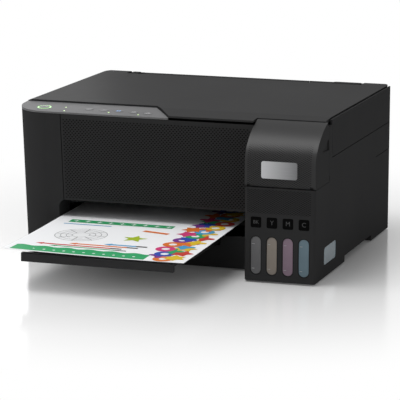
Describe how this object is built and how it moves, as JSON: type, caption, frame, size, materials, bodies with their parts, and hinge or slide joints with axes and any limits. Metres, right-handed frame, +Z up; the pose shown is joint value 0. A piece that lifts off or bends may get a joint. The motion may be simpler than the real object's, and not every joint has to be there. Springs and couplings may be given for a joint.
{
  "type": "inkjet printer",
  "caption": "Ink-tank inkjet printer with flatbed scanner, rear sheet feeder, sliding output tray and a printed sheet in delivery.",
  "frame": {"origin": "middle of the footprint of the whole object with its tray and sheet out, on the surface it stands on", "axes": "+X to the right seen from the delivery side, -Y towards the delivery side, +Z up"},
  "size_m": [0.375, 0.4754, 0.179],
  "materials": {
    "case_black": "fine-grained moulding, satin black",
    "panel_black": "moulded with a staggered dot texture",
    "cover_black": "satin charcoal",
    "control_grey": "satin grey",
    "button_grey": "satin grey",
    "light_green": "lit light guide",
    "badge_silver": "plain silver",
    "tank_clear": "translucent moulding",
    "ink_black": "liquid",
    "ink_yellow": "liquid",
    "ink_magenta": "liquid",
    "ink_cyan": "liquid",
    "cap_black": "satin",
    "glass_clear": "float glass",
    "foam_white": "white faced foam",
    "steel": "zinc plated",
    "inner_grey": "plain",
    "rubber_black": "matt",
    "board_green": "solder mask",
    "pad_felt": "felt",
    "paper_print": "printed sheet"
  },
  "bodies": {
    "chassis": {"lower_case": "case_black", "front_panel": "panel_black", "tank_housing": "case_black", "rear_housing": "case_black", "feeder_base": "inner_grey", "main_frame": "steel", "platen": "inner_grey", "capping_station": "inner_grey", "carriage_belt": "rubber_black", "carriage_motor": "steel", "feed_motor": "steel", "roller_belt": "rubber_black", "mainboard": "board_green", "board_screws": "steel", "power_supply": "inner_grey", "waste_ink_pad": "pad_felt", "rubber_feet": "rubber_black", "ink_tank_black": "tank_clear", "ink_tank_yellow": "tank_clear", "ink_tank_magenta": "tank_clear", "ink_tank_cyan": "tank_clear", "ink_black": "ink_black", "ink_yellow": "ink_yellow", "ink_magenta": "ink_magenta", "ink_cyan": "ink_cyan"},
    "tank_cover": {"tank_cover": "case_black", "tank_badge": "badge_silver"},
    "scanner_unit": {"scanner_base": "case_black", "scanner_bezel": "case_black", "scanner_glass": "glass_clear", "scan_rod": "steel", "control_panel": "control_grey", "status_lights": "light_green"},
    "document_cover": {"document_cover": "cover_black", "cover_pad": "foam_white"},
    "scan_bar": {"scan_bar": "inner_grey"},
    "paper_support": {"paper_support": "case_black"},
    "support_extension": {"support_extension": "inner_grey"},
    "edge_guide_left": {"edge_guide_left": "inner_grey"},
    "edge_guide_right": {"edge_guide_right": "inner_grey"},
    "output_tray": {"output_tray": "case_black"},
    "tray_extension": {"tray_extension": "case_black"},
    "carriage": {"carriage": "inner_grey", "print_head": "steel"},
    "idler_pulley": {"idler_pulley": "steel"},
    "motor_pulley": {"motor_pulley": "steel"},
    "feed_roller": {"feed_roller": "steel"},
    "eject_roller": {"eject_roller": "rubber_black"},
    "pickup_roller": {"pickup_roller": "rubber_black"},
    "printed_sheet": {"printed_sheet": "paper_print"},
    "tank_cap_black": {"tank_cap_black": "cap_black"},
    "tank_cap_yellow": {"tank_cap_yellow": "cap_black"},
    "tank_cap_magenta": {"tank_cap_magenta": "cap_black"},
    "tank_cap_cyan": {"tank_cap_cyan": "cap_black"},
    "power_button": {"power_button": "button_grey"},
    "network_button": {"network_button": "button_grey"},
    "info_button": {"info_button": "button_grey"},
    "copy_mono_button": {"copy_mono_button": "button_grey"},
    "copy_colour_button": {"copy_colour_button": "button_grey"},
    "stop_button": {"stop_button": "button_grey"}
  },
  "joints": [
    {"name": "scanner_lift", "type": "hinge", "parent": "chassis", "child": "scanner_unit", "pos_m": [0, 0.23225, 0.1735], "axis": [-1, 0, 0], "range_deg": [0, 27]},
    {"name": "document_cover_hinge", "type": "hinge", "parent": "scanner_unit", "child": "document_cover", "pos_m": [0, 0.23225, 0.1735], "axis": [-1, 0, 0], "range_deg": [0, 68]},
    {"name": "scan_bar_slide", "type": "slide", "parent": "scanner_unit", "child": "scan_bar", "axis": [1, 0, 0], "range_m": [0, 0.27]},
    {"name": "tank_cover_hinge", "type": "hinge", "parent": "chassis", "child": "tank_cover", "pos_m": [0, -0.10635, 0.1112], "axis": [1, 0, 0], "range_deg": [0, 85]},
    {"name": "paper_support_slide", "type": "slide", "parent": "chassis", "child": "paper_support", "axis": [0, 0.5, 0.866], "range_m": [0, 0.085]},
    {"name": "support_extension_slide", "type": "slide", "parent": "paper_support", "child": "support_extension", "axis": [0, 0.5, 0.866], "range_m": [0, 0.065]},
    {"name": "edge_guide_left_slide", "type": "slide", "parent": "chassis", "child": "edge_guide_left", "axis": [1, 0, 0], "range_m": [0, 0.05]},
    {"name": "edge_guide_right_slide", "type": "slide", "parent": "chassis", "child": "edge_guide_right", "axis": [-1, 0, 0], "range_m": [0, 0.05]},
    {"name": "output_tray_slide", "type": "slide", "parent": "chassis", "child": "output_tray", "axis": [0, 1, 0], "range_m": [0, 0.08]},
    {"name": "tray_extension_slide", "type": "slide", "parent": "output_tray", "child": "tray_extension", "axis": [0, 1, 0], "range_m": [0, 0.06]},
    {"name": "carriage_slide", "type": "slide", "parent": "chassis", "child": "carriage", "axis": [1, 0, 0], "range_m": [-0.1, 0.125]},
    {"name": "motor_pulley_spin", "type": "hinge", "parent": "chassis", "child": "motor_pulley", "pos_m": [0.122, 0.06925, 0.09], "axis": [0, 1, 0], "range_deg": [-1100, 1300]},
    {"name": "idler_pulley_spin", "type": "hinge", "parent": "chassis", "child": "idler_pulley", "pos_m": [-0.154, 0.06925, 0.09], "axis": [0, 1, 0], "range_deg": [-1100, 1300]},
    {"name": "feed_roller_spin", "type": "hinge", "parent": "chassis", "child": "feed_roller", "pos_m": [0, 0.05225, 0.04429], "axis": [1, 0, 0], "range_deg": [0, 322.29]},
    {"name": "eject_roller_spin", "type": "hinge", "parent": "chassis", "child": "eject_roller", "pos_m": [0, -0.01375, 0.04557], "axis": [1, 0, 0], "range_deg": [0, 517.66]},
    {"name": "pickup_roller_spin", "type": "hinge", "parent": "chassis", "child": "pickup_roller", "pos_m": [0, 0.17587, 0.11009], "axis": [-1, 0, 0], "range_deg": [0, 360]},
    {"name": "sheet_feed", "type": "slide", "parent": "chassis", "child": "printed_sheet", "axis": [0, -0.9997, -0.0262], "range_m": [0, 0.0455]},
    {"name": "tank_cap_black_hinge", "type": "hinge", "parent": "chassis", "child": "tank_cap_black", "pos_m": [0.1192, -0.06575, 0.104], "axis": [-1, 0, 0], "range_deg": [0, 88]},
    {"name": "tank_cap_yellow_hinge", "type": "hinge", "parent": "chassis", "child": "tank_cap_yellow", "pos_m": [0.1377, -0.06575, 0.104], "axis": [-1, 0, 0], "range_deg": [0, 88]},
    {"name": "tank_cap_magenta_hinge", "type": "hinge", "parent": "chassis", "child": "tank_cap_magenta", "pos_m": [0.1562, -0.06575, 0.104], "axis": [-1, 0, 0], "range_deg": [0, 88]},
    {"name": "tank_cap_cyan_hinge", "type": "hinge", "parent": "chassis", "child": "tank_cap_cyan", "pos_m": [0.1747, -0.06575, 0.104], "axis": [-1, 0, 0], "range_deg": [0, 88]},
    {"name": "power_button_press", "type": "slide", "parent": "scanner_unit", "child": "power_button", "axis": [0, 0, -1], "range_m": [0, 0.0006], "stiffness_N_per_m": 900, "springref_m": -0.0002},
    {"name": "network_button_press", "type": "slide", "parent": "scanner_unit", "child": "network_button", "axis": [0, 0, -1], "range_m": [0, 0.0006], "stiffness_N_per_m": 900, "springref_m": -0.0002},
    {"name": "info_button_press", "type": "slide", "parent": "scanner_unit", "child": "info_button", "axis": [0, 0, -1], "range_m": [0, 0.0006], "stiffness_N_per_m": 900, "springref_m": -0.0002},
    {"name": "copy_mono_button_press", "type": "slide", "parent": "scanner_unit", "child": "copy_mono_button", "axis": [0, 0, -1], "range_m": [0, 0.0006], "stiffness_N_per_m": 900, "springref_m": -0.0002},
    {"name": "copy_colour_button_press", "type": "slide", "parent": "scanner_unit", "child": "copy_colour_button", "axis": [0, 0, -1], "range_m": [0, 0.0006], "stiffness_N_per_m": 900, "springref_m": -0.0002},
    {"name": "stop_button_press", "type": "slide", "parent": "scanner_unit", "child": "stop_button", "axis": [0, 0, -1], "range_m": [0, 0.0006], "stiffness_N_per_m": 900, "springref_m": -0.0002}
  ],
  "couplings": [
    {"joint": "edge_guide_right_slide", "follows": "edge_guide_left_slide", "ratio": 1},
    {"joint": "motor_pulley_spin", "follows": "carriage_slide", "rad_per_m": 169.49},
    {"joint": "idler_pulley_spin", "follows": "carriage_slide", "rad_per_m": 169.49},
    {"joint": "eject_roller_spin", "follows": "feed_roller_spin", "ratio": 1.6},
    {"joint": "sheet_feed", "follows": "feed_roller_spin", "m_per_rad": 0.008}
  ]
}
